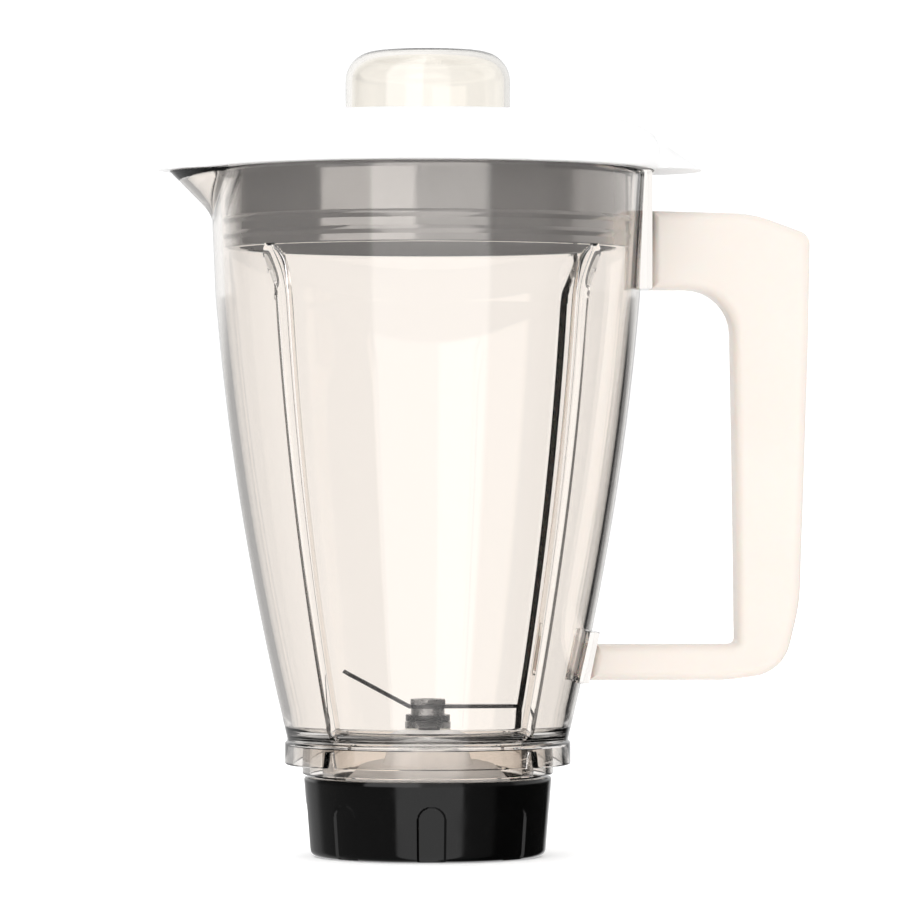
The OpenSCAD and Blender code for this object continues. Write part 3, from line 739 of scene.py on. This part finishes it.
def make_gasket():
    """The grey sleeve round the plug: an inner leg whose grey paints the shade inside the plug, the turned-up
    end, two sealing lips, the outer face.
    """
    inner, outer = PLUG_R + 0.03, PLUG_R + 1.12
    # The inner leg lays grey inside the plug as painted shade; the rest of the sleeve is the real grey
    # gasket.
    leg_out, leg_in = PLUG_R - 2.23, PLUG_R - 3.43
    leg_top_z, low, high = 214, 202, 227
    under_plug = PLUG_END_Z - 0.03
    outline = [
        (leg_out, under_plug), (leg_out, leg_top_z - EDGE), (leg_out - EDGE, leg_top_z),
        (leg_in + EDGE, leg_top_z), (leg_in, leg_top_z - 0.4), (leg_in, low + 0.4), (leg_in + 0.4, low),
        (outer - 0.4, low), (outer, low + 0.4),
    ]
    for z, reach in ((206, 0.6), (211.2, 0.8)):
        outline += [
            (outer, z - 1.4), (outer + reach * 0.8, z - 0.5), (outer + reach, z),
            (outer + reach * 0.7, z + 0.5), (outer, z + 1.2),
        ]
    outline += [(outer, high - 0.4), (outer - 0.4, high), (inner, high), (inner, under_plug)]
    piece = turn_profile("gasket_sleeve", outline, 192, MATERIALS["gasket"], 20)
    place_piece(piece, "lid", "gasket", "lid_gasket")


def make_cap():
    """The clear measuring cup, standing upside down in the lid."""
    wall, corner, top_r = 2, 10, 9
    centre = (CAP_R - corner, CAP_TOP_Z - corner)
    inside = [(0, CAP_TOP_Z - wall), (top_r, CAP_TOP_Z - wall)]
    inside += arc_points(*centre, corner - wall, 90, 0, 14)
    rim = [
        (CAP_R - wall, CAP_FOOT_Z + 0.4), (CAP_R - wall + 0.4, CAP_FOOT_Z),
        (CAP_R - 0.4, CAP_FOOT_Z), (CAP_R, CAP_FOOT_Z + 0.4),
    ]
    outside = arc_points(*centre, corner, 0, 90, 14) + [(top_r, CAP_TOP_Z), (0, CAP_TOP_Z)]
    piece = turn_profile("measuring_cap_cup", inside + rim + outside, 160, MATERIALS["cap"], 40, capped=True)
    place_piece(piece, "cap", "cap", "measuring_cap")


# ---------------------------------------------------------------- collar
def flat_depth(off, z):
    """Depth of the arched thumb flats at an angle from the flat's middle, with a soft edge."""
    mean_r, half_width, top_z, depth, edge = 40, 4.8, 18.5, 0.7, 0.55
    y = abs(mean_r * sin(off))
    arch_z = top_z - half_width
    inside = half_width - (sqrt(y ** 2 + (z - arch_z) ** 2) if z > arch_z else y)
    return depth * smooth_step(inside / edge)


def collar_outline(a):
    """One closed half-section of the collar, with an inner shelf that holds the blade unit up."""
    top_r, foot_r, height, corner = 41.3, 39.4, 26.3, 2.5
    bore_r, shelf_r, socket_r = 37.6, 26, 35
    shelf_top, shelf_low = 8.6, 5.6
    off = (a + pi / 8) % (pi / 4) - pi / 8
    levels = steps(corner, 20, 42) + [22, 24, height - 0.8]
    skin = []
    for z in levels:
        r = foot_r + (top_r - foot_r) * (z - corner) / (height - corner)
        skin.append((r - flat_depth(off, z), z))
    base = [(r - flat_depth(off, corner) * smooth_step((r - 37.2) / 1.5), z)
            for r, z in arc_points(foot_r - corner, corner, corner, -90, 0, 8)[:-1]]
    top = [
        (top_r - 0.25, height - 0.2), (top_r - 0.8, height),
        (bore_r + EDGE, height), (bore_r, height - EDGE),
    ]
    bore = [
        (bore_r, shelf_top), (shelf_r + EDGE, shelf_top), (shelf_r, shelf_top - EDGE),
        (shelf_r, shelf_low + EDGE), (shelf_r + EDGE, shelf_low), (socket_r, shelf_low),
        (socket_r, EDGE), (socket_r + EDGE, 0),
    ]
    return base + skin + top + bore


def make_collar():
    """The black ring, with finer steps at its eight thumb flats."""
    zones = [(45 * i, 8, 0.5) for i in range(8)]
    bm = bmesh.new()
    revolve(bm, collar_outline, fine_turn(1.5, zones))
    piece = finish_mesh("collar_black_ring", bm, MATERIALS["collar"], 30)
    place_piece(piece, "collar", "collar", "collar")


# ---------------------------------------------------------------- blade unit
SHAFT_FIT_R = 4.05
BEND_X = 6.4
# How far a bend's round stretches on either side of it
BEND_REACH = 0.6
BLADE_HUB_R = 7.4
BLADE_T = 1.2
# Thickness that grinding leaves along a wing's edge
CUTTING_EDGE = 0.25
ROOT_HALF = 4.6
TIP_HALF = 3.3
# Degrees from a wing's middle to where the hub's round starts
WING_TURN = 38


def make_holder():
    """The grey holder: a hollow foot clamped by the collar, a cone, and the tower with the upper bush."""
    shaft_room, bush_pocket = 7, 8
    hollow, foot_in, foot_r = 28.4, 31, 37
    outline = [
        (shaft_room, 18.8), (11, 18.8), (11.6, 27.1), (21.7, 27.1), (hollow, 20.4), (hollow, 8.9),
        (hollow + EDGE, 8.6), (foot_r - EDGE, 8.6), (foot_r, 8.9), (foot_r, 11.1), (foot_r - EDGE, 11.4),
        (foot_in + EDGE, 11.4), (foot_in, 11.7), (foot_in, 21), (30.7, 21.8), (23.3, 29.2), (22.4, 29.7),
        (15.8, 29.7), (15, 30), (14.5, 30.9),
    ]
    outline += arc_points(8.6, 41.6, 1.4, 0, 90, 8)
    outline += [(8.2, 43), (bush_pocket, 42.8), (bush_pocket, 40.4), (shaft_room, 40.4)]
    piece = turn_profile("blade_holder_tower", outline, 144, MATERIALS["holder"], 32)
    place_piece(piece, "blade_unit", "holder", "blade_holder")


def wing_points(length, root_half, tip_half):
    """A wing in plan as (along, across, ground) points, where ground is how far the top is ground back."""
    return [
        (-0.6, -root_half, 0), (length * 0.55, -root_half * 0.9, 0), (length - 1.5, -tip_half, 0),
        (length, -tip_half * 0.5, 0.5), (length - 0.9, tip_half * 0.4, 1.3), (length - 2.5, tip_half, 1.6),
        (length * 0.55, root_half * 0.8, 1.6), (length * 0.2, root_half * 0.93, 1.5), (-0.6, root_half, 0),
    ]


def blade_loops(wings):
    """The blade's lower and upper edge in plan: each wing, then the hub's round up to the next wing."""
    low, high = [], []
    for direction, length, _ in wings:
        turn = Matrix.Rotation(radians(direction), 2)
        for u, v, ground in wing_points(length, ROOT_HALF, TIP_HALF):
            back = ground * 0.4 if v < TIP_HALF * 0.5 else 0
            low.append(turn @ Vector((BEND_X + u, v)))
            high.append(turn @ Vector((BEND_X + u - back, v - ground)))
        for a in steps(direction + WING_TURN, direction + 180 - WING_TURN, 10):
            p = Vector((BLADE_HUB_R * cos(radians(a)), BLADE_HUB_R * sin(radians(a))))
            low.append(p)
            high.append(p.copy())
    return low, high


def bend_wing(bm, z, direction, bend):
    """Cuts a wing across at its bend and turns what lies beyond it upwards."""
    along = Vector((cos(radians(direction)), sin(radians(direction)), 0))
    across = Vector((-along.y, along.x, 0))
    for off in (-BEND_REACH, 0, BEND_REACH):
        parts = bm.verts[:] + bm.edges[:] + bm.faces[:]
        bmesh.ops.bisect_plane(bm, geom=parts, plane_co=along * (BEND_X + off), plane_no=along)
    for v in bm.verts:
        beyond = v.co.dot(along) - BEND_X
        share = smooth_step((beyond + BEND_REACH) / (2 * BEND_REACH))
        if share > 0:
            pivot = along * BEND_X + across * v.co.dot(across) + Vector((0, 0, z))
            v.co = pivot + Matrix.Rotation(-radians(bend) * share, 3, across) @ (v.co - pivot)


def make_blade(name, node, z, wings):
    """A plate with two bent wings, given as (direction in degrees, length, upward bend in degrees)."""
    low, high = blade_loops(wings)
    bm = bmesh.new()
    levels = ((low, 0), (low, CUTTING_EDGE), (high, BLADE_T))
    rings = [[bm.verts.new((p.x, p.y, z + rise)) for p in loop] for loop, rise in levels]
    for one, two in zip(rings, rings[1:]):
        for i in range(len(one)):
            k = (i + 1) % len(one)
            bm.faces.new((one[i], one[k], two[k], two[i]))
    bm.faces.new(rings[0])
    bm.faces.new(rings[-1])
    for direction, _, bend in wings:
        bend_wing(bm, z, direction, bend)
    bmesh.ops.triangulate(bm, faces=bm.faces)
    piece = finish_mesh(name, bm, MATERIALS["blade"], 25)
    place_piece(piece, "cutter", "steel", node)


def make_nut():
    """A hexagonal nut whose corners are turned off by a cone."""
    low, high, corner_r = 50.5, 52.3, 6.6

    def outline(a):
        off = abs(a % (pi / 3) - pi / 6)
        flat_r = corner_r * cos(pi / 6) / cos(off - pi / 6)
        turned = min(flat_r, corner_r * 0.93)
        return [
            (SHAFT_FIT_R, low), (turned, low), (flat_r, low + 0.35), (flat_r, high - 0.45),
            (turned, high), (4.5, high), (SHAFT_FIT_R, high - 0.4),
        ]

    bm = bmesh.new()
    revolve(bm, outline, full_turn(96))
    piece = finish_mesh("blade_nut_hex", bm, MATERIALS["steel"], 25)
    place_piece(piece, "cutter", "steel", "blade_nut")


def make_hub():
    """The disc under the lower blade."""
    low, high, hub_r, corner = 44, 46.2, 7.6, 0.4
    outline = [
        (SHAFT_FIT_R, low), (hub_r - corner, low), (hub_r, low + corner),
        (hub_r, high - corner), (hub_r - corner, high), (SHAFT_FIT_R, high),
    ]
    piece = turn_profile("blade_hub_disc", outline, 96, MATERIALS["steel"], 25)
    place_piece(piece, "cutter", "steel", "blade_hub")


def dress_cad_nodes():
    """The pieces whose CAD shape is kept get their slot's material."""
    for entry in frame["record"]["subparts"]:
        node = frame["nodes"][entry["node"]]
        if not node.hide_render:
            node.data.materials.clear()
            node.data.materials.append(MATERIALS[entry["material_slot"]])


scene.view_settings.view_transform = "Standard"
add_world()
add_camera()
add_floor()
make_jar()
make_handle()
make_lid()
make_gasket()
make_cap()
make_collar()
make_holder()
make_blade("upper_blade_steel", "upper_blade", 49.3, [(0, 23.6, 0), (180, 25, 28)])
make_blade("lower_blade_steel", "lower_blade", 46.2, [(-90, 15, -12), (90, 15, 14)])
make_nut()
make_hub()
dress_cad_nodes()
